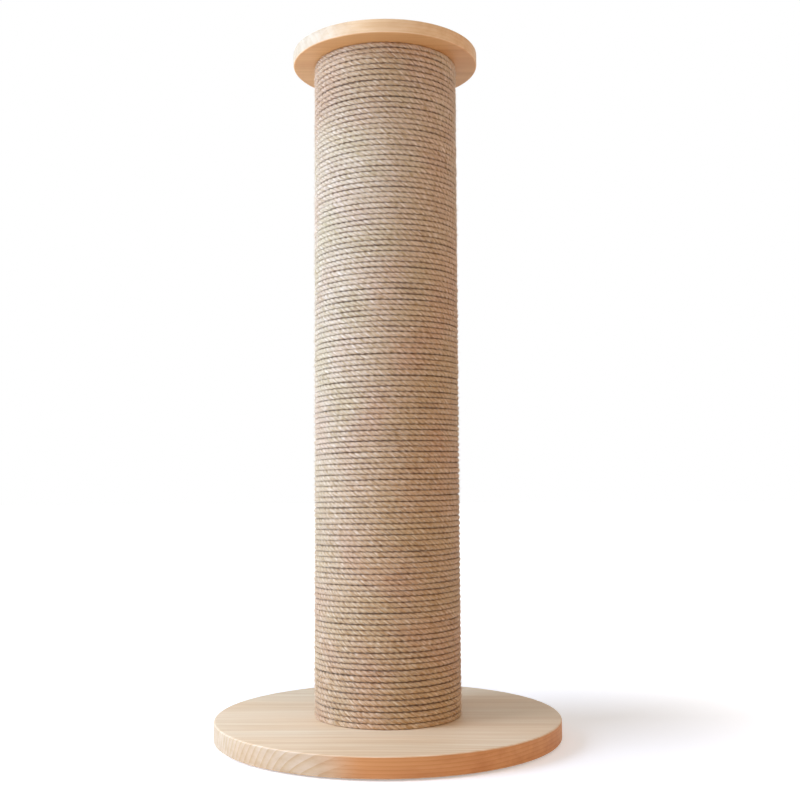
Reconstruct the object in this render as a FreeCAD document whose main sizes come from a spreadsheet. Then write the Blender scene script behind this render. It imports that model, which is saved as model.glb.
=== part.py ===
import FreeCAD, Part
import math
import os
import Sketcher

# Scratching post: a stiff tube wound with rope stands between a wide round base board and a
# small round top board. A plug is glued into each end of the tube. A bolt comes up through
# the base board into a tee nut in the lower plug, and a stud joins a tee nut in the upper
# plug to a threaded insert in the top board.
# Lengths are in millimetres. +Z is up, and the origin is on the post's axis, at the level of
# the surface that the pads stand on. +Y is the back, where the rope's two ends are tucked in.

SIZES = (
    ("base_diameter", 395, "round base board"),
    ("base_thickness", 22, ""),
    ("base_edge_bevel", 1.5, "eased rims of the base board"),
    ("top_diameter", 219, "round top board"),
    ("top_thickness", 16, ""),
    ("top_edge_bevel", 1.5, "eased rims of the top board"),
    ("pad_diameter", 30, "non-slip pads under the base board"),
    ("pad_thickness", 2, ""),
    ("pad_ring_diameter", 330, "of the circle that the pads' middles lie on"),
    ("pad_count", 4, ""),
    ("tube_diameter", 157, "outside of the tube"),
    ("tube_wall", 6, ""),
    ("tube_length", 760, "from board to board"),
    ("plug_thickness", 30, "plywood discs in the tube's ends"),
    ("plug_clearance", 0.25, "glue line round a plug, in the tube"),
    ("rope_width", 5.5, "across the corners of the rope's section"),
    ("rope_clearance", 0.25, "between the rope and what it lies on"),
    ("turn_pitch", 6.03, "from one turn of the rope to the next"),
    ("end_turns", 6, "turns that are drawn at each end of the winding"),
    ("tuck_bend", 8, "radius in which the rope turns into its notch"),
    ("rope_tail", 6, "straight end of the rope in its notch"),
    ("thread", 8, "thread of the base bolt, the stud and their nuts"),
    ("thread_clearance", 0.1, "between a thread and its nut"),
    ("bolt_clearance", 0.5, "round a threaded rod, in a board, a plug or a washer"),
    ("bolt_length", 45, "base bolt, under its head"),
    ("bolt_head_diameter", 13, ""),
    ("bolt_head_height", 8, ""),
    ("bolt_socket_width", 6, "across the flats of the hexagon socket"),
    ("bolt_socket_depth", 4, ""),
    ("washer_diameter", 24, "washer under the base bolt's head"),
    ("washer_thickness", 2, ""),
    ("counterbore_clearance", 1, "round the washer, in the base board"),
    ("counterbore_depth", 11, ""),
    ("nut_barrel_diameter", 9.8, "tee nuts, one in each plug"),
    ("nut_barrel_length", 12, ""),
    ("nut_flange_diameter", 22, ""),
    ("nut_flange_thickness", 1.5, ""),
    ("nut_clearance", 0.15, "round a nut's barrel and prongs, in a plug"),
    ("prong_length", 7, ""),
    ("prong_width", 3, ""),
    ("prong_thickness", 1.2, ""),
    ("stud_length", 50, "stud between the upper plug and the top board"),
    ("stud_end_gap", 1, "between the stud's end and the top of its insert"),
    ("insert_diameter", 12, "threaded insert in the top board"),
    ("insert_length", 13, ""),
    ("insert_clearance", 0.1, "round the insert and above it, in the top board"),
)

document = FreeCAD.newDocument("scratching_post")
sheet = document.addObject("Spreadsheet::Sheet", "sizes")
for row, (size_name, size_value, note) in enumerate(SIZES, start=1):
    sheet.set(f"A{row}", size_name)
    sheet.set(f"B{row}", str(size_value))
    sheet.setAlias(f"B{row}", size_name)
    sheet.set(f"C{row}", note)
document.recompute()


def size(name):
    """The value of one size of the sheet."""
    return float(sheet.get(name))


# Heights and radii that several pieces share, written with the sheet's names.
BASE_UNDERSIDE = "sizes.pad_thickness"
BASE_TOP = f"({BASE_UNDERSIDE} + sizes.base_thickness)"
TUBE_TOP = f"({BASE_TOP} + sizes.tube_length)"
LOWER_PLUG_TOP = f"({BASE_TOP} + sizes.plug_thickness)"
UPPER_PLUG_UNDERSIDE = f"({TUBE_TOP} - sizes.plug_thickness)"
TUBE_RADIUS = "(sizes.tube_diameter / 2)"
TUBE_BORE_RADIUS = f"({TUBE_RADIUS} - sizes.tube_wall)"
PLUG_RADIUS = f"({TUBE_BORE_RADIUS} - sizes.plug_clearance)"
WASHER_TOP = f"({BASE_UNDERSIDE} + sizes.counterbore_depth)"
HEAD_SEAT = f"({WASHER_TOP} - sizes.washer_thickness)"
THREAD_RADIUS = "(sizes.thread / 2)"
THREAD_HOLE_RADIUS = f"({THREAD_RADIUS} + sizes.thread_clearance)"
BOLT_HOLE_RADIUS = f"({THREAD_RADIUS} + sizes.bolt_clearance)"
INSERT_TOP = f"({TUBE_TOP} + sizes.insert_length)"
STUD_TOP = f"({INSERT_TOP} - sizes.stud_end_gap)"
ROPE_RADIUS = f"({TUBE_RADIUS} + sizes.rope_clearance + sizes.rope_width / 2)"
NOTCH_WIDTH = "(sizes.tuck_bend + sizes.rope_width / 2 + sizes.rope_clearance)"
NOTCH_DEPTH = "(sizes.rope_width + 2 * sizes.rope_clearance)"
NOTCH_FLOOR = f"({ROPE_RADIUS} - sizes.tuck_bend - sizes.rope_tail - sizes.rope_clearance)"


# --- Helpers for bodies and sketches -------------------------------------------------------

def new_body(label):
    body = document.addObject("PartDesign::Body", label)
    body.Label = label
    return body


def origin_feature(body, role):
    return next(feature for feature in body.Origin.OriginFeatures if feature.Role == role)


def new_sketch(body, name, plane="XZ_Plane", offset=("0", "0", "0")):
    """A sketch on one of the body's own planes, moved by an offset in the plane's frame."""
    sketch = body.newObject("Sketcher::SketchObject", name)
    sketch.AttachmentSupport = (origin_feature(body, plane), [""])
    sketch.MapMode = "FlatFace"
    for axis, distance in zip("xyz", offset):
        if distance != "0":
            sketch.setExpression(f"AttachmentOffset.Base.{axis}", distance)
    return sketch


def place_point(sketch, geometry, position, x, y):
    """Tie a point of the sketch to two distances from the sketch's origin."""
    for direction, distance, axis in (("X", x, -2), ("Y", y, -1)):
        if distance == "0":
            sketch.addConstraint(Sketcher.Constraint("PointOnObject", geometry, position, axis))
        else:
            tie = Sketcher.Constraint(f"Distance{direction}", -1, 1, geometry, position, 1.0)
            sketch.setExpression(f"Constraints[{sketch.addConstraint(tie)}]", distance)


def draw_outline(sketch, corners):
    """A closed outline of straight lines whose corners are pairs of expressions."""
    first = sketch.GeometryCount
    count = len(corners)
    starts = [FreeCAD.Vector(math.cos(step * math.tau / count), math.sin(step * math.tau / count), 0)
              for step in range(count)]
    for step in range(count):
        sketch.addGeometry(Part.LineSegment(starts[step], starts[(step + 1) % count]))
    for step in range(count):
        following = first + (step + 1) % count
        sketch.addConstraint(Sketcher.Constraint("Coincident", first + step, 2, following, 1))
    for step, (x, y) in enumerate(corners):
        place_point(sketch, first + step, 1, x, y)


def draw_rectangle(sketch, left, right, bottom, top):
    draw_outline(sketch, ((left, bottom), (right, bottom), (right, top), (left, top)))


def draw_circle(sketch, radius, x="0", y="0"):
    geometry = sketch.addGeometry(Part.Circle(FreeCAD.Vector(0, 0, 0), FreeCAD.Vector(0, 0, 1), 1))
    tie = sketch.addConstraint(Sketcher.Constraint("Radius", geometry, 1.0))
    sketch.setExpression(f"Constraints[{tie}]", radius)
    place_point(sketch, geometry, 3, x, y)


def draw_hexagon(sketch, across_flats):
    """A hexagon round the sketch's origin, with two of its corners on the X axis."""
    corner = f"{across_flats} / 2 / cos(30)"
    half_side = f"{across_flats} / 4 / cos(30)"
    flat = f"{across_flats} / 2"
    draw_outline(sketch, ((corner, "0"), (half_side, flat), (f"-{half_side}", flat),
                          (f"-{corner}", "0"), (f"-{half_side}", f"-{flat}"),
                          (half_side, f"-{flat}")))


def turn(body, name, sketch, cut=False):
    """A full turn of the sketch about its own vertical axis, added to the body or cut from it."""
    feature = body.newObject("PartDesign::Groove" if cut else "PartDesign::Revolution", name)
    feature.Profile = sketch
    feature.ReferenceAxis = (sketch, ["V_Axis"])
    feature.Angle = 360
    return feature


def extrude(body, name, sketch, length, cut=False, reverse=False):
    feature = body.newObject("PartDesign::Pocket" if cut else "PartDesign::Pad", name)
    feature.Profile = sketch
    feature.Reversed = reverse
    feature.setExpression("Length", length)
    return feature


def round_edges(feature, radius, heights):
    """Names of the feature's round edges of one radius at the given heights."""
    names = []
    for number, edge in enumerate(feature.Shape.Edges, start=1):
        curve = edge.Curve
        if isinstance(curve, Part.Circle) and math.isclose(curve.Radius, radius):
            if any(math.isclose(curve.Center.z, height) for height in heights):
                names.append(f"Edge{number}")
    return names


def new_board(label, diameter, thickness, bottom, bottom_height, bevel):
    """A round board that lies at a height, with both of its rims eased by a bevel."""
    body = new_body(label)
    outline = new_sketch(body, f"{label}_outline", "XY_Plane", ("0", "0", bottom))
    draw_circle(outline, f"sizes.{diameter} / 2")
    disc = extrude(body, f"{label}_disc", outline, f"sizes.{thickness}")
    document.recompute()
    rims = body.newObject("PartDesign::Chamfer", f"{label}_rims")
    heights = (bottom_height, bottom_height + size(thickness))
    rims.Base = (disc, round_edges(disc, size(diameter) / 2, heights))
    rims.setExpression("Size", f"sizes.{bevel}")
    return body


# --- Base board ----------------------------------------------------------------------------
# The hole is counterbored from below, so that the bolt's head stays off the ground.

base_underside_height = size("pad_thickness")
tube_bottom_height = base_underside_height + size("base_thickness")
tube_top_height = tube_bottom_height + size("tube_length")

base_board = new_board("base_board", "base_diameter", "base_thickness", BASE_UNDERSIDE,
                       base_underside_height, "base_edge_bevel")
hole_profile = new_sketch(base_board, "base_hole_profile")
counterbore_radius = "(sizes.washer_diameter / 2 + sizes.counterbore_clearance)"
draw_outline(hole_profile, (("0", BASE_UNDERSIDE), (counterbore_radius, BASE_UNDERSIDE),
                            (counterbore_radius, WASHER_TOP), (BOLT_HOLE_RADIUS, WASHER_TOP),
                            (BOLT_HOLE_RADIUS, BASE_TOP), ("0", BASE_TOP)))
turn(base_board, "base_hole", hole_profile, cut=True)

# --- Non-slip pads -------------------------------------------------------------------------

pads = new_body("non_slip_pads")
pad_place = ("sizes.pad_ring_diameter / 2 * cos(180 / sizes.pad_count)",
             "sizes.pad_ring_diameter / 2 * sin(180 / sizes.pad_count)", "0")
pad_outline = new_sketch(pads, "pad_outline", "XY_Plane", pad_place)
draw_circle(pad_outline, "sizes.pad_diameter / 2")
extrude(pads, "first_pad", pad_outline, "sizes.pad_thickness")
pad_ring = pads.newObject("PartDesign::PolarPattern", "pad_ring")
pad_ring.Axis = (origin_feature(pads, "Z_Axis"), [""])
pad_ring.Angle = 360
pad_ring.TransformMode = "Whole shape"
pad_ring.setExpression("Occurrences", "sizes.pad_count")
pads.Tip = pad_ring

# --- Tube ----------------------------------------------------------------------------------
# Each end has a notch at the back, where the rope's end is tucked in under the board.


def cut_notch(body, name, rim, lower_end):
    """The rope end's notch, open at the rim of the tube or of the plug in it."""
    sketch = new_sketch(body, f"{name}_outline", offset=("0", "0", f"-{NOTCH_FLOOR}"))
    if lower_end:
        draw_rectangle(sketch, "0", NOTCH_WIDTH, rim, f"{rim} + {NOTCH_DEPTH}")
    else:
        draw_rectangle(sketch, f"-{NOTCH_WIDTH}", "0", f"{rim} - {NOTCH_DEPTH}", rim)
    extrude(body, name, sketch, f"{ROPE_RADIUS} - {NOTCH_FLOOR}", cut=True)


tube = new_body("core_tube")
tube_profile = new_sketch(tube, "tube_profile")
draw_rectangle(tube_profile, TUBE_BORE_RADIUS, TUBE_RADIUS, BASE_TOP, TUBE_TOP)
turn(tube, "tube_ring", tube_profile)
cut_notch(tube, "lower_notch", BASE_TOP, True)
cut_notch(tube, "upper_notch", TUBE_TOP, False)

# --- Plugs ---------------------------------------------------------------------------------
# A tee nut is driven into each plug's inner face, so that its bolt pulls it against the plug.


def draw_prongs(sketch, clearance="0"):
    """The four prongs of a tee nut, seen along its axis, at the rim of its flange."""
    half_width = f"(sizes.prong_width / 2 + {clearance})"
    outer = f"(sizes.nut_flange_diameter / 2 + {clearance})"
    inner = f"(sizes.nut_flange_diameter / 2 - sizes.prong_thickness - {clearance})"
    draw_rectangle(sketch, inner, outer, f"-{half_width}", half_width)
    draw_rectangle(sketch, f"-{outer}", f"-{inner}", f"-{half_width}", half_width)
    draw_rectangle(sketch, f"-{half_width}", half_width, inner, outer)
    draw_rectangle(sketch, f"-{half_width}", half_width, f"-{outer}", f"-{inner}")


def new_plug(label, rim, inner_face, inwards):
    """A plug between the tube's rim and its own inner face, with its nut's seat in that face."""
    body = new_body(label)
    outline = new_sketch(body, f"{label}_outline")
    bottom, top = (rim, inner_face) if inwards == "+" else (inner_face, rim)
    draw_rectangle(outline, "0", PLUG_RADIUS, bottom, top)
    turn(body, f"{label}_disc", outline)
    outwards = "-" if inwards == "+" else "+"
    seat = new_sketch(body, f"{label}_seat_outline")
    barrel_radius = "(sizes.nut_barrel_diameter / 2 + sizes.nut_clearance)"
    barrel_end = f"({inner_face} {outwards} (sizes.nut_barrel_length + sizes.nut_clearance))"
    draw_outline(seat, (("0", inner_face), (barrel_radius, inner_face), (barrel_radius, barrel_end),
                        (BOLT_HOLE_RADIUS, barrel_end), (BOLT_HOLE_RADIUS, rim), ("0", rim)))
    turn(body, f"{label}_seat", seat, cut=True)
    slots = new_sketch(body, f"{label}_slot_outline", "XY_Plane", ("0", "0", inner_face))
    draw_prongs(slots, "sizes.nut_clearance")
    extrude(body, f"{label}_slots", slots, "sizes.prong_length", cut=True, reverse=(inwards == "-"))
    cut_notch(body, f"{label}_notch", rim, inwards == "+")


new_plug("lower_plug", BASE_TOP, LOWER_PLUG_TOP, "+")
new_plug("upper_plug", TUBE_TOP, UPPER_PLUG_UNDERSIDE, "-")

# --- Base bolt, washer and tee nuts --------------------------------------------------------

bolt = new_body("base_bolt")
bolt_profile = new_sketch(bolt, "bolt_profile")
head_radius = "(sizes.bolt_head_diameter / 2)"
HEAD_BOTTOM = f"({HEAD_SEAT} - sizes.bolt_head_height)"
BOLT_TIP = f"({HEAD_SEAT} + sizes.bolt_length)"
draw_outline(bolt_profile, (("0", HEAD_BOTTOM), (head_radius, HEAD_BOTTOM),
                            (head_radius, HEAD_SEAT), (THREAD_RADIUS, HEAD_SEAT),
                            (THREAD_RADIUS, BOLT_TIP), ("0", BOLT_TIP)))
turn(bolt, "bolt_blank", bolt_profile)
socket_outline = new_sketch(bolt, "socket_outline", "XY_Plane", ("0", "0", HEAD_BOTTOM))
draw_hexagon(socket_outline, "sizes.bolt_socket_width")
extrude(bolt, "bolt_socket", socket_outline, "sizes.bolt_socket_depth", cut=True, reverse=True)

washer = new_body("base_washer")
washer_profile = new_sketch(washer, "washer_profile")
draw_rectangle(washer_profile, BOLT_HOLE_RADIUS, "sizes.washer_diameter / 2", HEAD_SEAT, WASHER_TOP)
turn(washer, "washer_ring", washer_profile)

nuts = new_body("tee_nuts")
for place, seat, inwards in (("lower", LOWER_PLUG_TOP, "+"), ("upper", UPPER_PLUG_UNDERSIDE, "-")):
    outwards = "-" if inwards == "+" else "+"
    flange_face = f"({seat} {inwards} sizes.nut_flange_thickness)"
    barrel_end = f"({seat} {outwards} sizes.nut_barrel_length)"
    barrel_radius = "(sizes.nut_barrel_diameter / 2)"
    flange_radius = "(sizes.nut_flange_diameter / 2)"
    nut_profile = new_sketch(nuts, f"{place}_nut_profile")
    draw_outline(nut_profile, ((THREAD_HOLE_RADIUS, flange_face), (flange_radius, flange_face),
                               (flange_radius, seat), (barrel_radius, seat),
                               (barrel_radius, barrel_end), (THREAD_HOLE_RADIUS, barrel_end)))
    turn(nuts, f"{place}_nut_blank", nut_profile)
    prong_outline = new_sketch(nuts, f"{place}_prong_outline", "XY_Plane", ("0", "0", seat))
    draw_prongs(prong_outline)
    extrude(nuts, f"{place}_prongs", prong_outline, "sizes.prong_length - sizes.nut_clearance",
            reverse=(inwards == "+"))

# --- Stud, insert and top board ------------------------------------------------------------

stud = new_body("top_stud")
stud_outline = new_sketch(stud, "stud_outline", "XY_Plane", ("0", "0", STUD_TOP))
draw_circle(stud_outline, THREAD_RADIUS)
extrude(stud, "stud_rod", stud_outline, "sizes.stud_length", reverse=True)

insert = new_body("top_insert")
insert_profile = new_sketch(insert, "insert_profile")
draw_rectangle(insert_profile, THREAD_HOLE_RADIUS, "sizes.insert_diameter / 2", TUBE_TOP, INSERT_TOP)
turn(insert, "insert_sleeve", insert_profile)

top_board = new_board("top_board", "top_diameter", "top_thickness", TUBE_TOP, tube_top_height,
                      "top_edge_bevel")
blind_hole_profile = new_sketch(top_board, "blind_hole_profile")
draw_rectangle(blind_hole_profile, "0", "sizes.insert_diameter / 2 + sizes.insert_clearance",
               TUBE_TOP, f"{INSERT_TOP} + sizes.insert_clearance")
turn(top_board, "blind_hole", blind_hole_profile, cut=True)

# --- Rope ----------------------------------------------------------------------------------
# One rope is wound closely round the tube from board to board. Its first and last turns are
# drawn as real turns, each set one unbroken run that starts in the notch in the tube's end.
# The turns between them are a plain sleeve of the same outer size, and a tooth at each end of
# the sleeve is where the drawn run goes on into it.

rope_width = size("rope_width")
rope_clearance = size("rope_clearance")
turn_pitch = size("turn_pitch")
end_turns = int(size("end_turns"))
tuck_bend = size("tuck_bend")
rope_line_radius = size("tube_diameter") / 2 + rope_clearance + rope_width / 2
first_turn_height = tube_bottom_height + rope_clearance + rope_width / 2
BIARCS_PER_TURN = 2
SECTION_SIDES = 5


def winding_point(turns):
    """Where the rope's middle line is, after so many turns from the notch at the back."""
    angle = math.pi / 2 + turns * math.tau
    return FreeCAD.Vector(rope_line_radius * math.cos(angle), rope_line_radius * math.sin(angle),
                          first_turn_height + turns * turn_pitch)


def winding_direction(turns):
    """The rope's direction there. Both ends of the run are level, to leave it straight."""
    angle = math.pi / 2 + turns * math.tau
    level = FreeCAD.Vector(-math.sin(angle), math.cos(angle), 0)
    if turns in (0, end_turns):
        return level
    climb = turn_pitch / (math.tau * rope_line_radius)
    return (level + FreeCAD.Vector(0, 0, climb)).normalize()


def arc_from(start, direction, end):
    """The arc that leaves start in a direction and passes to end."""
    chord = end - start
    half_turn = direction.getAngle(chord) / 2
    middle_way = (direction + FreeCAD.Vector(chord).normalize()).normalize()
    middle = start + middle_way * (chord.Length / (2 * math.cos(half_turn)))
    return Part.Arc(start, middle, end)


def biarc(start, start_direction, end, end_direction):
    """Two arcs that meet smoothly, from a point and direction to another."""
    across = end - start
    both = start_direction + end_direction
    spread = 2 * (1 - start_direction.dot(end_direction))
    along = across.dot(both)
    reach = (math.sqrt(along * along + spread * across.dot(across)) - along) / spread
    joint = (start + end + (start_direction - end_direction) * reach) / 2
    first = arc_from(start, start_direction, joint)
    second = arc_from(joint, (joint - (start + start_direction * reach)).normalize(), end)
    return first, second


def winding_path():
    """The rope's middle line: tail, bend into the first turn, the turns, and a straight end."""
    first_point = winding_point(0)
    forwards = winding_direction(0)
    outwards = FreeCAD.Vector(0, 1, 0)
    bend_centre = first_point - outwards * tuck_bend
    bend_start = bend_centre - forwards * tuck_bend
    bend_middle = bend_centre + (outwards - forwards).normalize() * tuck_bend
    tail_start = bend_start - outwards * size("rope_tail")
    pieces = [Part.LineSegment(tail_start, bend_start), Part.Arc(bend_start, bend_middle, first_point)]
    steps = end_turns * BIARCS_PER_TURN
    for step in range(steps):
        here = step / BIARCS_PER_TURN
        there = (step + 1) / BIARCS_PER_TURN
        pieces.extend(biarc(winding_point(here), winding_direction(here),
                            winding_point(there), winding_direction(there)))
    last_point = winding_point(end_turns)
    pieces.append(Part.LineSegment(last_point, last_point + winding_direction(end_turns) * rope_width))
    return Part.Wire([piece.toShape() for piece in pieces])


def rope_section(centre, direction, upwards):
    """The rope's faceted section, square to its direction, with a corner on its outer side."""
    outer_side = direction.cross(upwards)
    corners = []
    for side in range(SECTION_SIDES):
        angle = side * math.tau / SECTION_SIDES
        reach = (outer_side * math.cos(angle) + upwards * math.sin(angle)) * (rope_width / 2)
        corners.append(centre + reach)
    return Part.makePolygon(corners + corners[:1])


def least_gap(path):
    """The least gap between parts of the run that are over half a turn apart along it."""
    spacing = turn_pitch / 3
    points = path.discretize(Distance=spacing)
    apart = int(math.pi * rope_line_radius / spacing)
    nearest = math.inf
    cells = {}
    cell = 2 * turn_pitch
    for number, point in enumerate(points):
        key = (int(point.x // cell), int(point.y // cell), int(point.z // cell))
        cells.setdefault(key, []).append(number)
    for (x, y, z), numbers in cells.items():
        around = [other for dx in (-1, 0, 1) for dy in (-1, 0, 1) for dz in (-1, 0, 1)
                  for other in cells.get((x + dx, y + dy, z + dz), ())]
        for number in numbers:
            for other in around:
                if other - number > apart:
                    nearest = min(nearest, points[number].distanceToPoint(points[other]))
    return nearest - rope_width


path = winding_path()
tail_start = path.OrderedVertexes[0].Point
section = rope_section(tail_start, FreeCAD.Vector(0, 1, 0), FreeCAD.Vector(0, 0, 1))
run_solid = path.makePipeShell([section], True, False)
section_area = SECTION_SIDES / 2 * math.sin(math.tau / SECTION_SIDES) * (rope_width / 2) ** 2
print(f"winding: {end_turns} turns, {path.Length:.0f} mm long, volume {run_solid.Volume:.0f} mm3, "
      f"section times length {section_area * path.Length:.0f} mm3")
print(f"winding: least gap to itself {least_gap(path):.2f} mm")

lower_turns = document.addObject("Part::Feature", "lower_turns")
lower_turns.Shape = run_solid
upper_turns = document.addObject("Part::Feature", "upper_turns")
upper_turns.Shape = run_solid
turned_over = FreeCAD.Rotation(FreeCAD.Vector(0, 1, 0), 180)
upper_turns.Placement = FreeCAD.Placement(
    FreeCAD.Vector(0, 0, tube_bottom_height + tube_top_height), turned_over)


def new_solid(kind, label, height="0", **sizes):
    """A Part primitive or boolean whose sizes are bound to the sheet."""
    solid = document.addObject(f"Part::{kind}", label)
    for name, expression in sizes.items():
        solid.setExpression(name, expression)
    if height != "0":
        solid.setExpression("Placement.Base.z", height)
    return solid


def cut_away(label, base, tool):
    cut = document.addObject("Part::Cut", label)
    cut.Base = base
    cut.Tool = tool
    return cut


SLEEVE_RADIUS = f"({ROPE_RADIUS} + sizes.rope_width / 2)"
SLEEVE_BORE_RADIUS = f"({TUBE_RADIUS} + sizes.rope_clearance)"
LAST_TURN = (f"({BASE_TOP} + sizes.rope_clearance + sizes.rope_width / 2"
             " + sizes.end_turns * sizes.turn_pitch)")
TOOTH_BOTTOM = f"({LAST_TURN} - sizes.rope_width / 2)"
TOOTH_DEPTH = "(sizes.rope_width + sizes.rope_clearance)"
SLEEVE_MIDDLE = f"(({BASE_TOP} + {TUBE_TOP}) / 2)"
SLEEVE_SPAN = f"(2 * ({SLEEVE_MIDDLE} - {TOOTH_BOTTOM}))"

sleeve_blank = new_solid("Cylinder", "sleeve_blank", TOOTH_BOTTOM, Radius=SLEEVE_RADIUS,
                         Height=SLEEVE_SPAN)
sleeve_bore = new_solid("Cylinder", "sleeve_bore", f"{TOOTH_BOTTOM} - sizes.rope_width",
                        Radius=SLEEVE_BORE_RADIUS, Height=f"{SLEEVE_SPAN} + 2 * sizes.rope_width")
sleeve_tube = cut_away("sleeve_tube", sleeve_blank, sleeve_bore)


def sleeve_step(name, bottom, tooth_left):
    """What is cut from an end of the sleeve, all round but for its tooth at the back."""
    ring = new_solid("Cylinder", f"{name}_ring", bottom, Radius=f"{SLEEVE_RADIUS} + sizes.rope_width",
                     Height=TOOTH_DEPTH)
    tooth = new_solid("Box", f"{name}_tooth", bottom, Length="2 * sizes.rope_width",
                      Width=f"{SLEEVE_RADIUS} + 2 * sizes.rope_width", Height=TOOTH_DEPTH)
    tooth.setExpression("Placement.Base.x", tooth_left)
    return cut_away(f"{name}_step", ring, tooth)


TOOTH_FACE = "(sizes.rope_width + sizes.rope_clearance)"
lower_step = sleeve_step("lower", TOOTH_BOTTOM, f"-{TOOTH_FACE} - 2 * sizes.rope_width")
upper_step = sleeve_step("upper", f"{TOOTH_BOTTOM} + {SLEEVE_SPAN} - {TOOTH_DEPTH}", TOOTH_FACE)
sleeve_stepped = cut_away("sleeve_stepped", sleeve_tube, lower_step)
middle_turns = cut_away("middle_turns", sleeve_stepped, upper_step)

rope = document.addObject("Part::Compound", "sisal_rope")
rope.Label = "sisal_rope"
rope.Links = [lower_turns, middle_turns, upper_turns]

# --- Check and write -----------------------------------------------------------------------

document.recompute()
pieces = [item for item in document.Objects if item.TypeId == "PartDesign::Body"] + [rope]
expected_solids = {"non_slip_pads": int(size("pad_count")), "tee_nuts": 2, "sisal_rope": 3}
faults = [f"{item.Label}: {', '.join(item.State)}" for item in document.Objects
          if "Invalid" in item.State or "Error" in item.State]
for piece in pieces:
    shape = piece.Shape
    if shape.isNull() or not shape.isValid():
        faults.append(f"{piece.Label}: no valid shape")
    elif len(shape.Solids) != expected_solids.get(piece.Label, 1):
        faults.append(f"{piece.Label}: {len(shape.Solids)} solids")
for feature in document.Objects:
    if feature.TypeId in ("PartDesign::Pocket", "PartDesign::Groove"):
        if feature.Shape.Volume > feature.BaseFeature.Shape.Volume - 1e-3:
            faults.append(f"{feature.Label}: cuts nothing")
if faults:
    raise RuntimeError("; ".join(faults))

os.makedirs("parts", exist_ok=True)
for piece in pieces:
    piece.Shape.exportStep(f"parts/{piece.Label}.step")
    box = piece.Shape.BoundBox
    print(f"{piece.Label}: {len(piece.Shape.Solids)} solids, {piece.Shape.Volume / 1000:.1f} cm3, "
          f"z {box.ZMin:.2f} to {box.ZMax:.2f}")
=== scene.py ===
# %% [markdown]
# # A rope-wound scratching post
#
# The object is a post of natural rope between two round pine boards. This file dresses its packed
# CAD model. The CAD gives the place and the outer size of every piece. Blender adds what the eye
# sees: the laid rope, the grain of the wood, the rubber and the steel.
#
# The first cell loads the CAD as a fixed frame, in metres, standing on the floor at z = 0.

# %% Load the frame
import math

import bmesh
import bpy
import numpy as np
from mathutils import Matrix, Vector


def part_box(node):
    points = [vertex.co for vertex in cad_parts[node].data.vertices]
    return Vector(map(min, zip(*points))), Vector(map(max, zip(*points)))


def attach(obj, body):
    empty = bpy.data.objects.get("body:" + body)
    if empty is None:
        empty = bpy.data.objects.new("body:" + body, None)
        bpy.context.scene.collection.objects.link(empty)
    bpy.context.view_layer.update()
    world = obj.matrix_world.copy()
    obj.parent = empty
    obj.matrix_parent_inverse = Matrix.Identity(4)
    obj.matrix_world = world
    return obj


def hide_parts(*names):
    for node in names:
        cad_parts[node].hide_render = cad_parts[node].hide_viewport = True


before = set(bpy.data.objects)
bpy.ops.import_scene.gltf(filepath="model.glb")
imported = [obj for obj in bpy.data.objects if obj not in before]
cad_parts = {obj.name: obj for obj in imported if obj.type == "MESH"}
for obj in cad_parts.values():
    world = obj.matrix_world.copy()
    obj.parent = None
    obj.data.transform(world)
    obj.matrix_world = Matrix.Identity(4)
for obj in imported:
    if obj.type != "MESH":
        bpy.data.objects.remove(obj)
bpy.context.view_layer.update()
MM = 0.001

# %% [markdown]
# A few helpers come first. Blender's operators act on whatever is selected, and the frame arrives
# selected, so each piece starts from a clean selection. Faces and edges are picked in code, by
# their place or their direction, as a modeller would pick them with the mouse.

# %% Helpers that select
def select_only(piece):
    """Makes piece the active object and the only selected one."""
    bpy.ops.object.select_all(action="DESELECT")
    piece.select_set(True)
    bpy.context.view_layer.objects.active = piece


def begin(piece):
    """Opens piece alone in edit mode, with nothing in it selected."""
    select_only(piece)
    bpy.ops.object.mode_set(mode="EDIT")
    bpy.ops.mesh.select_all(action="DESELECT")


def pick(piece, kind, test):
    """In edit mode, selects only the faces or edges for which test is true, and counts them."""
    bpy.ops.mesh.select_mode(type={"faces": "FACE", "edges": "EDGE"}[kind])
    bpy.ops.mesh.select_all(action="DESELECT")
    shape = bmesh.from_edit_mesh(piece.data)
    found = [item for item in getattr(shape, kind) if test(item)]
    for item in found:
        item.select_set(True)
    bmesh.update_edit_mesh(piece.data)
    return len(found)


def height(item):
    """The mean height of a face or an edge, in millimetres."""
    return sum(vertex.co.z for vertex in item.verts) / len(item.verts) / MM


def looks_up(face):
    """True for a level face that looks up."""
    return face.normal.z > 0.99


def looks_down(face):
    """True for a level face that looks down."""
    return face.normal.z < -0.99


def open_edge(edge):
    """True for an edge with a face on one side only."""
    return edge.is_boundary


def end_loop(edge):
    """True for an edge between a level end and the wall of a turned shape."""
    tilts = sorted(abs(face.normal.z) for face in edge.link_faces)
    return len(tilts) == 2 and tilts[0] < 0.1 and tilts[1] > 0.9


# %% [markdown]
# The next helpers make and change meshes. A turned piece starts as a round blank, and a swept one
# as a curve. Every size that goes into them is in millimetres.

# %% Helpers that shape
def new_disc(name, radius, low, high, sides):
    """A round blank between two heights, with its place in its mesh."""
    bpy.ops.object.select_all(action="DESELECT")
    bpy.ops.mesh.primitive_cylinder_add(
        vertices=sides,
        radius=radius * MM,
        depth=(high - low) * MM,
        location=(0, 0, (low + high) / 2 * MM),
    )
    disc = bpy.context.active_object
    disc.name = name
    disc.data.name = name
    bpy.ops.object.transform_apply(location=True, rotation=True, scale=True)
    return disc


def curve_to_mesh(data):
    """Turns curve data into a mesh piece of the same name, which is left selected."""
    piece = bpy.data.objects.new(data.name, data)
    bpy.context.scene.collection.objects.link(piece)
    select_only(piece)
    bpy.ops.object.convert(target="MESH")
    return bpy.context.active_object


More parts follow.
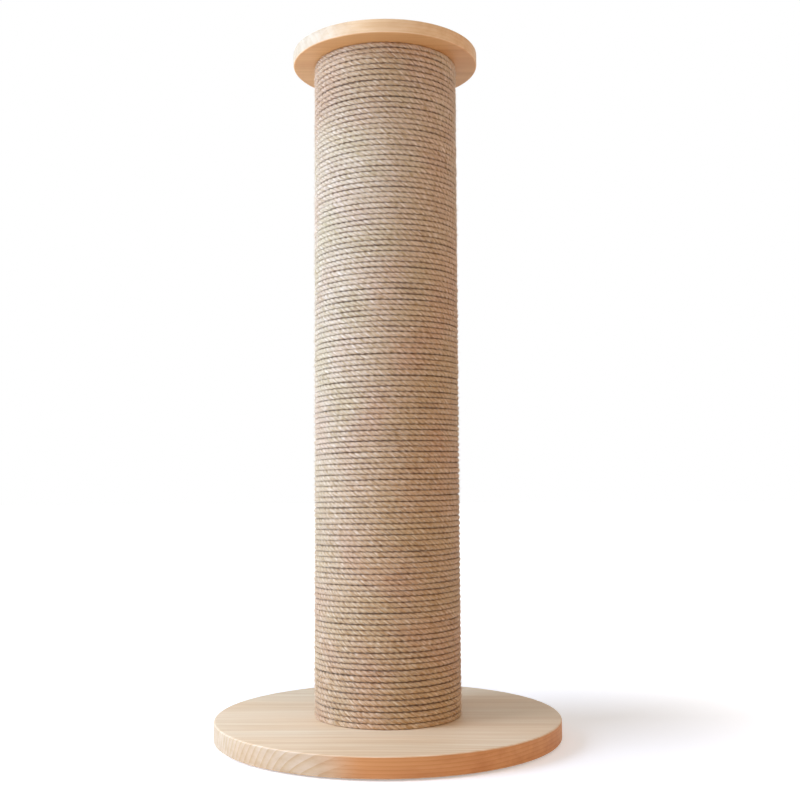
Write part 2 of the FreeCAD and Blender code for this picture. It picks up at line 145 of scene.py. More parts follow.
def bevel(width, steps):
    """Bevels the selected edges."""
    bpy.ops.mesh.bevel(offset=width * MM, segments=steps, affect="EDGES")


def inset(width, depth=0, each=False):
    """Insets the selected faces, together or each by itself."""
    bpy.ops.mesh.inset(thickness=width * MM, depth=depth * MM, use_individual=each)


def extrude_up(rise):
    """Extrudes the selected faces straight up."""
    bpy.ops.mesh.extrude_region_move(TRANSFORM_OT_translate={"value": (0, 0, rise * MM)})


def join_rims(piece):
    """Joins the two open rims of piece with a wall."""
    pick(piece, "edges", open_edge)
    bpy.ops.mesh.bridge_edge_loops()


def finish_mesh(piece, angle=35):
    """Merges doubles, turns the faces outwards, leaves edit mode and smooths shallow edges."""
    bpy.ops.mesh.select_all(action="SELECT")
    bpy.ops.mesh.remove_doubles(threshold=0.001 * MM)
    bpy.ops.mesh.normals_make_consistent(inside=False)
    bpy.ops.object.mode_set(mode="OBJECT")
    bpy.ops.object.shade_smooth_by_angle(angle=math.radians(angle))
    print(piece.name, "has", len(piece.data.polygons), "faces")


# %% [markdown]
# The helpers for materials follow. Colours are written as sRGB hex values, as a paint program
# shows them, and one function turns them into the linear values that Blender mixes. Another adds
# a node with its settings and its inputs, where an input is a number, a hex colour or the output
# of another node. The short ones after it each add one or two nodes that are needed often, and
# give back their output.

# %% Helpers for materials
def linear(hex_colour):
    """An sRGB hex colour as linear red, green, blue and alpha."""
    parts = [int(hex_colour[i:i + 2], 16) / 255 for i in (1, 3, 5)]
    return [p / 12.92 if p <= 0.04045 else ((p + 0.055) / 1.055) ** 2.4 for p in parts] + [1]


def new_material(name):
    """An empty node material."""
    material = bpy.data.materials.new(name)
    material.use_nodes = True
    material.node_tree.nodes.clear()
    return material


def add_node(material, kind, settings=None, inputs=None):
    """Adds a node, sets its settings, and sets or links its inputs."""
    node = material.node_tree.nodes.new(kind)
    for name, value in (settings or {}).items():
        setattr(node, name, value)
    for name, value in (inputs or {}).items():
        if isinstance(value, bpy.types.NodeSocket):
            material.node_tree.links.new(value, node.inputs[name])
        else:
            colour = isinstance(value, str)
            node.inputs[name].default_value = linear(value) if colour else value
    return node


def object_place(material):
    """The place of a point in its object, in metres."""
    return add_node(material, "ShaderNodeTexCoord").outputs["Object"]


def split(material, vector):
    """The x, y and z of a vector."""
    return list(add_node(material, "ShaderNodeSeparateXYZ", None, {0: vector}).outputs)


def stretch(material, place, scale):
    """A place with each of its axes multiplied by a number."""
    inputs = {"Vector": place, "Scale": scale}
    return add_node(material, "ShaderNodeMapping", None, inputs).outputs[0]


def distance_from_axis(material, place, others):
    """How far a place is from an axis, where others is 0 on that axis and 1 on the other two."""
    level = add_node(material, "ShaderNodeVectorMath", {"operation": "MULTIPLY"},
                     {0: place, 1: others})
    length = add_node(material, "ShaderNodeVectorMath", {"operation": "LENGTH"},
                      {0: level.outputs[0]})
    return length.outputs["Value"]


def calculate(material, operation, *values):
    """The result of one Math node."""
    inputs = dict(enumerate(values))
    return add_node(material, "ShaderNodeMath", {"operation": operation}, inputs).outputs[0]


def repeat(material, value, period):
    """How far a value is through its present period, from 0 to 1."""
    return calculate(material, "FRACT", calculate(material, "DIVIDE", value, period))


def map_range(material, value, before, after=(0, 1), curve="SMOOTHSTEP"):
    """A value between the two numbers of before, moved to between the two of after."""
    inputs = {"Value": value, "From Min": before[0], "From Max": before[1],
              "To Min": after[0], "To Max": after[1]}
    settings = {"interpolation_type": curve}
    return add_node(material, "ShaderNodeMapRange", settings, inputs).outputs[0]


def noise(material, place, scale, detail, roughness=0.5):
    """Soft noise round 0.5, whose spots are smaller the larger the scale is."""
    inputs = {"Vector": place, "Scale": scale, "Detail": detail, "Roughness": roughness}
    return add_node(material, "ShaderNodeTexNoise", None, inputs).outputs["Fac"]


def ramp(material, share, stops):
    """A colour that runs through stops, which are pairs of a position and a hex colour."""
    node = add_node(material, "ShaderNodeValToRGB", None, {"Fac": share})
    elements = node.color_ramp.elements
    while len(elements) < len(stops):
        elements.new(1)
    for element, (position, colour) in zip(elements, stops):
        element.position = position
        element.color = linear(colour)
    return node.outputs["Color"]


def mix(material, share, first, second, blend="MIX"):
    """The first colour, with a share of the second mixed in or multiplied in."""
    node = add_node(material, "ShaderNodeMix", {"data_type": "RGBA", "blend_type": blend},
                    {"Factor": share, "A": first, "B": second})
    return node.outputs["Result"]


def relief(material, rise, strength, distance):
    """The normal of a skin with a fine relief, its distance in millimetres."""
    inputs = {"Height": rise, "Strength": strength, "Distance": distance * MM}
    return add_node(material, "ShaderNodeBump", None, inputs).outputs["Normal"]


def end_material(material, inputs):
    """Ends a material with a Principled shader, and prints how many nodes it has."""
    shader = add_node(material, "ShaderNodeBsdfPrincipled", None, inputs)
    add_node(material, "ShaderNodeOutputMaterial", None, {"Surface": shader.outputs[0]})
    print(material.name, "has", len(material.node_tree.nodes), "nodes")
    return material


def dress(piece, material, node):
    """Gives a new piece its material and its body, and hides the CAD node it stands for."""
    piece.data.materials.clear()
    piece.data.materials.append(material)
    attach(piece, "root")
    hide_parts(node)


# %% [markdown]
# ## The camera
#
# The photograph looks up at the top board and down on the base, so the camera stands low, about a
# third of the way up the post. The picture is 800 pixels wide and high. The focal length in pixels
# and the camera's distance and height were worked out from the two boards' outlines.

# %% Place the camera
PICTURE_PIXELS = 800
FOCAL_PIXELS = 1100
SENSOR_WIDTH = 36
CAMERA_DISTANCE = 1.287
CAMERA_HEIGHT = 0.287
PITCH_UP = math.radians(4.39)
YAW = math.radians(0.70)
ROLL = math.radians(-0.33)

camera_data = bpy.data.cameras.new("camera")
camera_data.sensor_width = SENSOR_WIDTH
camera_data.lens = SENSOR_WIDTH * FOCAL_PIXELS / PICTURE_PIXELS
camera_data.clip_start = 0.02
camera = bpy.data.objects.new("camera", camera_data)
bpy.context.scene.collection.objects.link(camera)
camera.matrix_world = (
    Matrix.Translation((0, -CAMERA_DISTANCE, CAMERA_HEIGHT))
    @ Matrix.Rotation(-YAW, 4, "Z")
    @ Matrix.Rotation(math.radians(90) + PITCH_UP, 4, "X")
    @ Matrix.Rotation(ROLL, 4, "Z")
)
bpy.context.scene.camera = camera
print("lens in mm:", round(camera_data.lens, 1))

# %% [markdown]
# ## The rope
#
# The rope is three-strand sisal, 6 mm thick, laid to the right: its strands climb round it like the
# thread of a right-hand screw. It is wound 125 times round the cardboard tube, each turn pressed
# against the one below.
#
# One long curve gives the rope's middle line, and a small closed curve, the outline of three
# strands pressed together, is swept along it. The tilt of the curve's points turns that outline
# once every 22 mm, and this is what lays the strands. Sweeping a curve suits a rope best, because
# the strands then follow every bend of it. The outline runs clockwise, which turns the swept faces
# outwards. It is drawn a little too thick, and pressing takes the surplus away.

# %% The section of the rope
ROPE_RADIUS = 3.45
STRAND_RADIUS = 0.66 * ROPE_RADIUS
STRAND_OFFSET = ROPE_RADIUS - STRAND_RADIUS
STRANDS = 3
POINTS_PER_STRAND = 5
SECTION_POINTS = STRANDS * POINTS_PER_STRAND


def section_radius(angle):
    """The distance from the rope's middle to its surface, with a groove at angle 0."""
    across = (angle % (2 * math.pi / STRANDS)) - math.pi / STRANDS
    flat = STRAND_OFFSET * math.cos(across)
    return flat + math.sqrt(STRAND_RADIUS ** 2 - (STRAND_OFFSET * math.sin(across)) ** 2)


section_data = bpy.data.curves.new("rope_section", "CURVE")
section_data.dimensions = "2D"
section_line = section_data.splines.new("POLY")
section_line.points.add(SECTION_POINTS - 1)
for number, point in enumerate(section_line.points):
    angle = -2 * math.pi * number / SECTION_POINTS
    reach = section_radius(angle) * MM
    point.co = (reach * math.cos(angle), reach * math.sin(angle), 0, 1)
section_line.use_cyclic_u = True
section = bpy.data.objects.new("rope_section", section_data)
bpy.context.scene.collection.objects.link(section)
print("groove depth in mm:", round(ROPE_RADIUS - section_radius(0), 2))

# %% [markdown]
# The middle line starts at the back. The first turn lies flat on the base board and climbs over
# its own start there. Over the next turns that climb spreads out until the rope is an even helix,
# and under the top board the same happens the other way up.
#
# A rope wound by hand is never quite even. Its height, its distance from the tube, its thickness
# and its lay each wander a little, and slowly. The wander is random, from a fixed seed, so every
# run gives the same rope.

# %% The line that the rope follows
HALF_ROPE = 3.0
WINDING_RADIUS = 81.5
TURNS = 125
CLIMB = 0.13
SPREAD_TURNS = 14
LAY = 22.0
STEP = 2.7
base_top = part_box("base_board")[1][2] / MM
top_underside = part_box("top_board")[0][2] / MM
lowest = base_top + HALF_ROPE
highest = top_underside - HALF_ROPE
pitch = (highest - lowest) / TURNS
turn_length = 2 * math.pi * WINDING_RADIUS
RINGS = int(TURNS * turn_length / STEP) + 1


def ease(values):
    """A smooth step from 0 to 1."""
    values = np.clip(values, 0, 1)
    return values * values * (3 - 2 * values)


def wander(reach, spacing, seed):
    """One slow random wave for each ring, with its bends about spacing millimetres apart."""
    knots = int(TURNS * turn_length / spacing) + 4
    heights = np.random.default_rng(seed).uniform(-1, 1, knots)
    place = np.linspace(0, knots - 2, RINGS)
    low = np.floor(place).astype(int)
    part = ease(place - low)
    return reach * (heights[low] * (1 - part) + heights[low + 1] * part)


turn = np.linspace(0, TURNS, RINGS)
whole = np.minimum(np.floor(turn), TURNS - 1)
part = turn - whole
from_end = np.minimum(turn, TURNS - turn)
freedom = np.minimum(1, from_end)
evenness = ease(from_end / SPREAD_TURNS)
climb_low = ease((part - (1 - CLIMB)) / CLIMB)
climb_high = ease(part / CLIMB)
climb = np.where(turn < TURNS / 2, climb_low, climb_high)
line_z = lowest + pitch * (whole + evenness * part + (1 - evenness) * climb)
line_z += wander(reach=0.42, spacing=70, seed=1) * freedom
line_radius = WINDING_RADIUS + wander(reach=0.28, spacing=60, seed=2) * freedom
line_angle = math.pi / 2 + 2 * math.pi * turn
line_x = line_radius * np.cos(line_angle)
line_y = line_radius * np.sin(line_angle)
thickness = 1 + wander(reach=0.05, spacing=60, seed=3)
room_below = line_z - np.interp(turn - 1, turn, line_z, left=2 * base_top - lowest)
room_above = np.interp(turn + 1, turn, line_z, right=2 * top_underside - highest) - line_z
print("pitch of the winding in mm:", round(pitch, 2))

# %% [markdown]
# Both ends of the rope turn inwards at the back, through a notch in the tube, where glue holds
# them. Each is a quarter bend and a short straight tail. The two are mirror images, so one bend
# serves both.

# %% Tuck in the two ends
BEND = 8.0
BEND_STEPS = 6
TAIL = 7.5
TAIL_THICKNESS = 0.9
bend_angles = np.linspace(0, math.pi / 2, BEND_STEPS)[1:]
bend_x = BEND * np.sin(bend_angles)
bend_y = WINDING_RADIUS - BEND * (1 - np.cos(bend_angles))
tuck_x = np.append(bend_x, BEND)
tuck_y = np.append(bend_y, WINDING_RADIUS - BEND - TAIL)
TUCK_RINGS = len(tuck_x)

path_x = np.concatenate([tuck_x[::-1], line_x, -tuck_x])
path_y = np.concatenate([tuck_y[::-1], line_y, tuck_y])
path_z = np.pad(line_z, TUCK_RINGS, "edge")
path_thickness = np.pad(thickness, TUCK_RINGS, constant_values=TAIL_THICKNESS)
path_below = np.pad(room_below, TUCK_RINGS)
path_above = np.pad(room_above, TUCK_RINGS)
wound = np.pad(np.ones(RINGS), TUCK_RINGS)
steps = np.sqrt(np.diff(path_x) ** 2 + np.diff(path_y) ** 2 + np.diff(path_z) ** 2)
along = np.concatenate([[0], np.cumsum(steps)])
lay_wander = np.pad(wander(reach=0.5, spacing=150, seed=4), TUCK_RINGS, "edge")
strand_turn = 2 * math.pi * along / LAY + lay_wander
print("rope length in m:", round(along[-1] / 1000, 1), "rings:", len(along))

# %% [markdown]
# One mesh of the whole rope would be too heavy, so it is made in four lengths that meet ring to
# ring. Each ring's distance along the rope and each corner's place round it go into a UV map. The
# material draws its fibres on that map, so they follow the strands.
#
# A rope that is wound tight doesn't stay round. It lies flat on the tube, and its neighbours above
# and below press its sides flat too, so only narrow dark lines are left between the turns. After
# the sweep each corner is pressed in the same way. Last, both ends of each length are closed, with
# a sharp edge, so that the shading runs on smoothly from one length to the next.

# %% Sweep the section along the line
PIECES = 4
OUTER_PRESS = 0.86
tube_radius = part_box("core_tube")[1][0] / MM


def press(mesh, rings):
    """Presses a length of rope against the tube and against the turns above and below."""
    corners = np.empty(len(mesh.vertices) * 3)
    mesh.vertices.foreach_get("co", corners)
    corners = corners.reshape(-1, 3) / MM
    ring = rings.start + np.arange(len(corners)) // SECTION_POINTS
    middle = np.hypot(path_x[ring], path_y[ring])
    distance = np.hypot(corners[:, 0], corners[:, 1])
    outwards = distance - middle
    upwards = corners[:, 2] - path_z[ring]
    inner_limit = tube_radius - middle
    pressed_out = np.where(outwards > 0, outwards * OUTER_PRESS, np.maximum(outwards, inner_limit))
    pressed_up = np.clip(upwards, -path_below[ring] / 2, path_above[ring] / 2)
    scale = (middle + pressed_out) / distance
    tight = wound[ring] > 0
    corners[tight, 0] *= scale[tight]
    corners[tight, 1] *= scale[tight]
    corners[tight, 2] = (path_z[ring] + pressed_up)[tight]
    mesh.vertices.foreach_set("co", (corners * MM).ravel())


def map_rope(mesh, rings):
    """Writes the UV map: metres along the rope, and the share of the way round it."""
    corners = np.empty(len(mesh.loops), dtype=np.int64)
    mesh.loops.foreach_get("vertex_index", corners)
    ring = corners // SECTION_POINTS
    sides = (corners % SECTION_POINTS).reshape(-1, 4)
    wraps = (sides.max(axis=1) - sides.min(axis=1)) > 1
    sides[wraps] = np.where(sides[wraps] == 0, SECTION_POINTS, sides[wraps])
    while mesh.uv_layers:
        mesh.uv_layers.remove(mesh.uv_layers[0])
    layer = mesh.uv_layers.new(name="rope")
    uv = np.stack([along[rings.start + ring] * MM, sides.ravel() / SECTION_POINTS], axis=1)
    layer.data.foreach_set("uv", uv.ravel())


def rope_length(name, rings):
    """A length of rope over a run of rings, as a mesh with its own UV map."""
    data = bpy.data.curves.new(name, "CURVE")
    data.dimensions = "3D"
    data.twist_mode = "Z_UP"
    data.bevel_mode = "OBJECT"
    data.bevel_object = section
    count = rings.stop - rings.start
    line = data.splines.new("POLY")
    line.points.add(count - 1)
    places = np.stack([path_x[rings] * MM, path_y[rings] * MM, path_z[rings] * MM,
                       np.ones(count)], axis=1)
    line.points.foreach_set("co", places.ravel())
    line.points.foreach_set("radius", path_thickness[rings])
    line.points.foreach_set("tilt", strand_turn[rings])
    piece = curve_to_mesh(data)
    press(piece.data, rings)
    map_rope(piece.data, rings)
    begin(piece)
    pick(piece, "edges", open_edge)
    bpy.ops.mesh.mark_sharp()
    bpy.ops.mesh.fill_holes(sides=SECTION_POINTS)
    bpy.ops.object.mode_set(mode="OBJECT")
    bpy.ops.object.shade_smooth()
    return piece


cuts = np.linspace(0, len(along) - 1, PIECES + 1).astype(int)
ropes = []
for number in range(PIECES):
    rings = slice(int(cuts[number]), int(cuts[number + 1]) + 1)
    ropes.append(rope_length(f"rope_{number + 1}", rings))
    print(ropes[-1].name, "has", len(ropes[-1].data.polygons), "faces")
bpy.data.objects.remove(section)

# %% [markdown]
# Sisal is never smooth. The ends of its fibres stand out of the strands as a fine fuzz, which
# softens the dark lines and the outline, most of all where the post turns away from the eye.
#
# Hair could be grown with a particle system, but that isn't part of a mesh and would be lost in
# the export. So each fibre is a short curve of three points that leaves the rope at a low angle
# and thins towards its tip, and the curves of each length of rope become one light mesh. Where a
# fibre starts, the rope is pressed flatter above and below than outside.

# %% Grow the fuzz
FIBRES = 36000
FIBRE_RADIUS = 0.10
FIBRE_TAPER = (1.0, 0.8, 0.3)
FIBRE_LENGTHS = (3.0, 8.0)
FUZZY_SIDE = math.radians(75)
ROOT_RADIUS = 0.92 * ROPE_RADIUS
SIDE_PRESS = 0.82
BOARD_GAP = 0.3
chance = np.random.default_rng(9)


def fibre_lines(first, last, count):
    """Three points for each of a number of fibres that leave the rope between two rings."""
    ring = chance.integers(first, last, count)
    spread = chance.uniform(-1, 1, count) * FUZZY_SIDE
    length = chance.uniform(*FIBRE_LENGTHS, count)
    lift = chance.uniform(0.15, 0.55, count) * chance.uniform(0.3, 1.0, count)
    sideways = chance.normal(0, 0.35, count)
    onwards = chance.choice([-1.0, 1.0], count)
    angle = np.arctan2(path_y[ring], path_x[ring])
    out = np.stack([np.cos(angle), np.sin(angle), 0 * angle], axis=1)
    forth = np.stack([-np.sin(angle), np.cos(angle), 0 * angle], axis=1) * onwards[:, None]
    up = np.array([0.0, 0.0, 1.0])
    middle = np.stack([path_x[ring], path_y[ring], path_z[ring]], axis=1)
    root = middle + out * (ROOT_RADIUS * OUTER_PRESS * np.cos(spread))[:, None]
    root = root + up * (SIDE_PRESS * ROOT_RADIUS * np.sin(spread))[:, None]
    way = forth + up * sideways[:, None]
    halfway = root + (way * 0.5 + out * (0.35 * lift)[:, None]) * length[:, None]
    tip = root + (way * 0.95 + out * lift[:, None]) * length[:, None]
    points = np.stack([root, halfway, tip], axis=1)
    heights = points[:, :, 2]
    inside = (heights > base_top + BOARD_GAP) & (heights < top_underside - BOARD_GAP)
    return points[inside.all(axis=1)] * MM


def grow_fuzz(name, first, last, count):
    """The fuzz of one length of rope, as one mesh."""
    data = bpy.data.curves.new(name, "CURVE")
    data.dimensions = "3D"
    data.bevel_depth = FIBRE_RADIUS * MM
    data.bevel_resolution = 0
    data.use_fill_caps = True
    for points in fibre_lines(first, last, count):
        line = data.splines.new("POLY")
        line.points.add(2)
        for point, place, width in zip(line.points, points, FIBRE_TAPER):
            point.co = (*place, 1)
            point.radius = width
    fuzz = curve_to_mesh(data)
    begin(fuzz)
    finish_mesh(fuzz, angle=80)
    return fuzz


fuzzes = []
for number in range(PIECES):
    first = max(int(cuts[number]), TUCK_RINGS)
    last = min(int(cuts[number + 1]), TUCK_RINGS + RINGS)
    fuzzes.append(grow_fuzz(f"fuzz_{number + 1}", first, last, FIBRES // PIECES))

# %% [markdown]
# ## Sisal
#
# Sisal is a hard leaf fibre, straw-coloured and slightly shiny, never dyed here. The eye sees pale
# fibres along each strand and a tone that changes a little from one metre of rope to the next. The
# colour also holds painted shade: darker grooves between the strands, and a dark line between the
# turns where no light gets in.
#
# A fibre is 0.2 mm thick, too fine to show, so the streaks are drawn about 1 mm wide. They run
# along the strands, so they slant across each turn as the strands do.
#
# The photograph shows the foot and the right of the post more golden and the rest paler and greyer,
# so two sets of straw colours are mixed by a height that counts for less towards the right. The
# paler, greyer set is painted light: a haze of light on the lit left and upper part of the post.
# The last turns under the top board are darker and more golden, except at the right: this is a
# painted shadow of the top board. The painted shade of the lines between the turns is fainter at
# the left, where the lamp shines into them.

# %% Make the sisal
STREAKS = (100, 1000, 1)
PAINTED_GROOVE_SHADE = 0.66
PAINTED_SHADE_DEPTHS = ((WINDING_RADIUS + 1.8) * MM, (WINDING_RADIUS + 3.3) * MM)
LINE_WANDER = 2.4 * MM
PAINTED_LIT_SIDE = (-84 * MM, -45 * MM)
PAINTED_LINE_SHADES = (0.72, 0.40)
TONE_SHADES = (0.86, 1.06)
LEAN = -2.5
PAINTED_HAZE_HEIGHTS = (160 * MM, 700 * MM)
PAINTED_SHADOW_HEIGHTS = (640 * MM, 760 * MM)
PAINTED_SHADOW_SIDE = (0, 50 * MM)
PAINTED_SHADOW_GOLD = 0.7
PAINTED_SHADOW_LEVEL = 0.84
# the deep brown of the painted shade and of the darker random tone
PAINTED_SHADE_AND_TONE_COLOUR = "#552a0c"


def sisal():
    """Natural sisal, drawn on the rope's own UV map."""
    material = new_material("natural sisal")
    uv = add_node(material, "ShaderNodeUVMap", {"uv_map": "rope"})
    length, around = split(material, uv.outputs["UV"])[:2]
    place = object_place(material)
    x, y, z = split(material, place)

    across = calculate(material, "MULTIPLY", around, 2 * math.pi * ROPE_RADIUS * MM)
    on_rope = add_node(material, "ShaderNodeCombineXYZ", None, {"X": length, "Y": across})
    streaks = stretch(material, on_rope.outputs[0], STREAKS)
    fibres = noise(material, streaks, 1.0, 3, roughness=0.6)

    # painted shade: the grooves between the strands are darkened in the colour
    lobe = calculate(material, "MULTIPLY", around, STRANDS * math.pi)
    crest = calculate(material, "ABSOLUTE", calculate(material, "SINE", lobe))
    groove = map_range(material, crest, (0, 0.5), (PAINTED_GROOVE_SHADE, 1), "LINEAR")

    # painted shade: the colour darkens with depth towards the tube, in the lines between the turns,
    # and less on the lit left
    painted_line_wander = add_node(material, "ShaderNodeTexNoise", {"noise_dimensions": "1D"},
                         {"W": length, "Scale": 30.0, "Detail": 3})
    depth = distance_from_axis(material, place, (1, 1, 0))
    painted_shade_depth = calculate(material, "MULTIPLY_ADD",
                           painted_line_wander.outputs["Fac"], LINE_WANDER, depth)
    painted_line_shade = map_range(material, x, PAINTED_LIT_SIDE, PAINTED_LINE_SHADES)
    painted_gap_shade = map_range(material, painted_shade_depth, PAINTED_SHADE_DEPTHS, (painted_line_shade, 1))

    # painted light: a paler, greyer straw towards the top and the lit left stands for a haze of
    # light
    slant = calculate(material, "MULTIPLY_ADD", x, LEAN, z)
    painted_haze_share = map_range(material, slant, PAINTED_HAZE_HEIGHTS)
    # painted shadow: the top board's shadow darkens and gilds the last turns, except at the right
    painted_shadow_height = map_range(material, z, PAINTED_SHADOW_HEIGHTS)
    painted_shadow_not_right = map_range(material, x, PAINTED_SHADOW_SIDE, (1, 0))
    painted_board_shadow = calculate(material, "MULTIPLY", painted_shadow_height, painted_shadow_not_right)
    painted_haze_and_shadow = calculate(material, "MULTIPLY_ADD", painted_board_shadow, -PAINTED_SHADOW_GOLD, painted_haze_share)
    golden = ramp(material, fibres, [(0.32, "#8d6e3d"), (0.48, "#bb9b73"), (0.66, "#e6dfcd")])
    painted_haze_straw = ramp(material, fibres, [(0.32, "#938254"), (0.48, "#c3b69c"), (0.66, "#eeece9")])
    straw_and_painted_haze = mix(material, painted_haze_and_shadow, golden, painted_haze_straw)
    blotch = noise(material, place, 14.0, 3)
    blotches = ramp(material, blotch, [(0.38, "#faebe2"), (0.50, "#fdf6ee"), (0.62, "#f6f0e0")])
    warm = mix(material, 1.0, straw_and_painted_haze, blotches, "MULTIPLY")

    tone_place = add_node(material, "ShaderNodeCombineXYZ", None, {"X": length})
    tone = noise(material, tone_place.outputs[0], 6.0, 4)
    tone_shade = map_range(material, tone, (0.3, 0.7), TONE_SHADES, "LINEAR")
    painted_shadow_factor = map_range(material, painted_board_shadow, (0, 1), (1, PAINTED_SHADOW_LEVEL), "LINEAR")
    # the painted shade of the grooves, the lines and the board's shadow, and the random tone,
    # darken the colour towards one deep brown
    tone_and_painted_shade = groove
    for shade in (painted_gap_shade, tone_shade, painted_shadow_factor):
        tone_and_painted_shade = calculate(material, "MULTIPLY", tone_and_painted_shade, shade)
    return end_material(material, {
        "Base Color": mix(material, tone_and_painted_shade, PAINTED_SHADE_AND_TONE_COLOUR, warm), "Roughness": 0.65, "IOR": 1.53,
        "Sheen Weight": 0.2, "Sheen Roughness": 0.4,
        "Normal": relief(material, fibres, strength=0.8, distance=0.5)})


sisal_material = sisal()
for rope in ropes:
    dress(rope, sisal_material, node="sisal_rope")

# %% [markdown]
# The loose fibres are the same sisal, but seen one by one they are paler and shinier, and their
# colour is painted paler still, as painted light that each one catches. Their tone changes from
# place to place, in bits as small as one fibre.

# %% Colour the fuzz
def loose_fibre():
    """One sisal fibre, with painted light that makes it paler."""
    material = new_material("loose sisal fibre")
    tone = noise(material, object_place(material), 400.0, 1)
    # painted light: the fibres' colour is paler, as the light that each one catches
    colour = ramp(material, tone, [(0.35, "#c3a684"), (0.65, "#efe2cd")])
    return end_material(material, {"Base Color": colour, "Roughness": 0.55, "IOR": 1.5})


fibre_material = loose_fibre()
for fuzz in fuzzes:
    dress(fuzz, fibre_material, node="sisal_rope")

# %% [markdown]
# ## The boards
#
# Both boards are solid pine, sawn round, with their rims eased by sandpaper. A cylinder is the
# blank. Its two rims are bevelled in several steps, which makes the soft edge that catches the
# light.

# %% Turn the two boards
RIM = 2.0
base_low, base_high = [corner[2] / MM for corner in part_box("base_board")]
base_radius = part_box("base_board")[1][0] / MM
top_low, top_high = [corner[2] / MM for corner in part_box("top_board")]
top_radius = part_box("top_board")[1][0] / MM
top_board = new_disc("pine_top_board", top_radius, top_low, top_high, 160)
base_board = new_disc("pine_base_board", base_radius, base_low, base_high, 240)
for board in (top_board, base_board):
    begin(board)
    print(board.name, "rim edges:", pick(board, "edges", end_loop))
    bevel(RIM, 4)
    finish_mesh(board)

# %% [markdown]
# The base has a counterbore underneath, which takes the bolt's head and the washer, and the bolt's
# hole goes on above it to the top face. An inset draws the counterbore's circle on the underside,
# an extrusion sinks it, and a second inset draws the hole. The same hole is drawn on the top face,
# and a wall joins the two.

# %% Sink the counterbore and the hole
COUNTERBORE_RADIUS = 13.0
COUNTERBORE_DEPTH = 11.0
HOLE_RADIUS = 4.5
begin(base_board)
pick(base_board, "faces", looks_down)
inset(base_radius - RIM - COUNTERBORE_RADIUS)
extrude_up(COUNTERBORE_DEPTH)
inset(COUNTERBORE_RADIUS - HOLE_RADIUS)
bpy.ops.mesh.delete(type="FACE")
pick(base_board, "faces", lambda face: looks_up(face) and height(face) > base_high - 0.1)
inset(base_radius - RIM - HOLE_RADIUS)
bpy.ops.mesh.delete(type="FACE")
join_rims(base_board)
finish_mesh(base_board)

# %% [markdown]
# ## Pine
#
# Pine is pale cream, with growth rings: a wide soft part and a thin, darker, orange part. The
# rings are about 5 mm apart. They are not painted on the faces: they are cylinders round the heart
# of the tree, which lies along x, well in front of the base board and well behind the top board,
# and every face cuts through them. So the top shows long lines and the left of the rim shows
# slanted end grain, as one sawn board does.
#
# From the middle to the right the photograph shows the rim as orange heartwood, with lines that
# run along it. There the rings give way to flat layers 4 mm apart, and the rim's tint changes from
# sapwood to heartwood. That tint is partly painted shade as well: greyer on the lit left of the
# rim, and warmer and darker towards the right, away from the key lamp. The underside gets a darker,
# warmer tint, which is painted shade.

# %% Make the pine
HEART_TILT = (0, math.radians(1.2), math.radians(1.5))
BENDS = (1.6, 7, 7)
GRAIN = (2.5, 90, 90)
RING_WANDER = 40 * MM
BORDER_WANDER = 60 * MM
LAYER = 4.2 * MM
LAYER_WANDER = 14 * MM
SOFT_WOOD = "#eedec3"
RING_COLOURS = [(0.0, "#f2e5cf"), (0.55, SOFT_WOOD), (0.82, "#e6d0ac"), (0.93, "#e0c49a"),
                (1.0, "#f2e5cf")]


